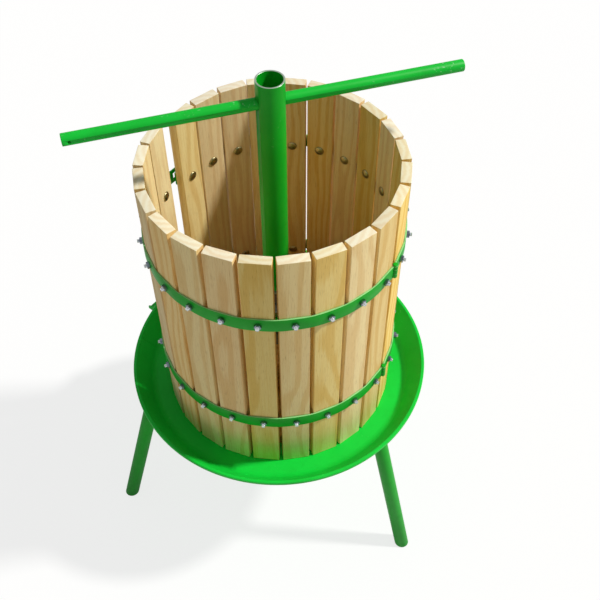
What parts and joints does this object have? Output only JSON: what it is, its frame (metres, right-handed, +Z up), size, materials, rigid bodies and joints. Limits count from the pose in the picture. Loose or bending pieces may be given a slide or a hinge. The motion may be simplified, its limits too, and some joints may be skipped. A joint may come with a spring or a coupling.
{
  "type": "apple cider press",
  "caption": "Hand fruit press: a hinged basket of wooden staves in steel hoops, on a green three-legged tray with a spout, pressed by a tube screwed down a spindle with a tee bar.",
  "frame": {"origin": "on the ground, at the middle of the outline seen from above", "axes": "+Z up, the spout points to -X and +Y"},
  "size_m": [0.6065, 0.605, 0.9433],
  "materials": {
    "green_paint": "gloss",
    "beech": "bare, planed",
    "board_wood": "bare, planed",
    "bare_steel": "turned and oiled"
  },
  "bodies": {
    "stand": {"tray": "green_paint", "spout": "green_paint", "leg_left": "green_paint", "leg_right": "green_paint", "leg_back": "green_paint", "brace_left": "green_paint", "brace_right": "green_paint", "brace_back": "green_paint", "hub": "green_paint", "spindle": "bare_steel", "spindle_nut_upper": "bare_steel", "spindle_nut_lower": "bare_steel"},
    "left_half": {"stave_left_01": "beech", "stave_left_02": "beech", "stave_left_03": "beech", "stave_left_04": "beech", "stave_left_05": "beech", "stave_left_06": "beech", "stave_left_07": "beech", "stave_left_08": "beech", "stave_left_09": "beech", "stave_left_10": "beech", "stave_left_11": "beech", "stave_left_12": "beech", "hoop_left_lower": "green_paint", "hoop_left_upper": "green_paint", "hinge_pin_lower": "green_paint", "hinge_pin_upper": "green_paint", "hasp_pin_lower": "green_paint", "hasp_pin_upper": "green_paint"},
    "right_half": {"stave_right_01": "beech", "stave_right_02": "beech", "stave_right_03": "beech", "stave_right_04": "beech", "stave_right_05": "beech", "stave_right_06": "beech", "stave_right_07": "beech", "stave_right_08": "beech", "stave_right_09": "beech", "stave_right_10": "beech", "stave_right_11": "beech", "stave_right_12": "beech", "hoop_right_lower": "green_paint", "hoop_right_upper": "green_paint"},
    "lower_hasp": {"hasp_lower": "green_paint"},
    "upper_hasp": {"hasp_upper": "green_paint"},
    "boards": {"board_back": "board_wood", "board_front": "board_wood", "batten_left": "board_wood", "batten_right": "board_wood", "batten_back": "board_wood", "batten_front": "board_wood"},
    "foot": {"foot_plate": "green_paint", "keeper_ring": "bare_steel"},
    "tube": {"press_nut": "bare_steel", "press_tube": "green_paint", "tee_bar": "green_paint"}
  },
  "joints": [
    {"name": "foot_rise", "type": "slide", "parent": "stand", "child": "foot", "axis": [0, 0, 1], "range_m": [-0.0946, 0.2505]},
    {"name": "tube_turn", "type": "hinge", "parent": "foot", "child": "tube", "pos_m": [0.0244, -0.0314, 0.4952], "axis": [0, 0, 1], "range_deg": [-5670, 15000]},
    {"name": "boards_lift", "type": "slide", "parent": "stand", "child": "boards", "axis": [0, 0, 1], "range_m": [0, 0.09]},
    {"name": "basket_lift", "type": "slide", "parent": "stand", "child": "left_half", "axis": [0, 0, 1], "range_m": [0, 0.095]},
    {"name": "half_swing", "type": "hinge", "parent": "left_half", "child": "right_half", "pos_m": [0.2027, -0.13981, 0.2883], "axis": [0, 0, -1], "range_deg": [0, 7.5]},
    {"name": "upper_hasp_turn", "type": "hinge", "parent": "left_half", "child": "upper_hasp", "pos_m": [-0.16118, 0.06704, 0.6711], "axis": [0, 0, 1], "range_deg": [-5.8, 100]},
    {"name": "lower_hasp_turn", "type": "hinge", "parent": "left_half", "child": "lower_hasp", "pos_m": [-0.16118, 0.06704, 0.4137], "axis": [0, 0, 1], "range_deg": [-5.8, 100]}
  ],
  "couplings": [
    {"joint": "foot_rise", "follows": "tube_turn", "m_per_rad": 0.00095493}
  ]
}
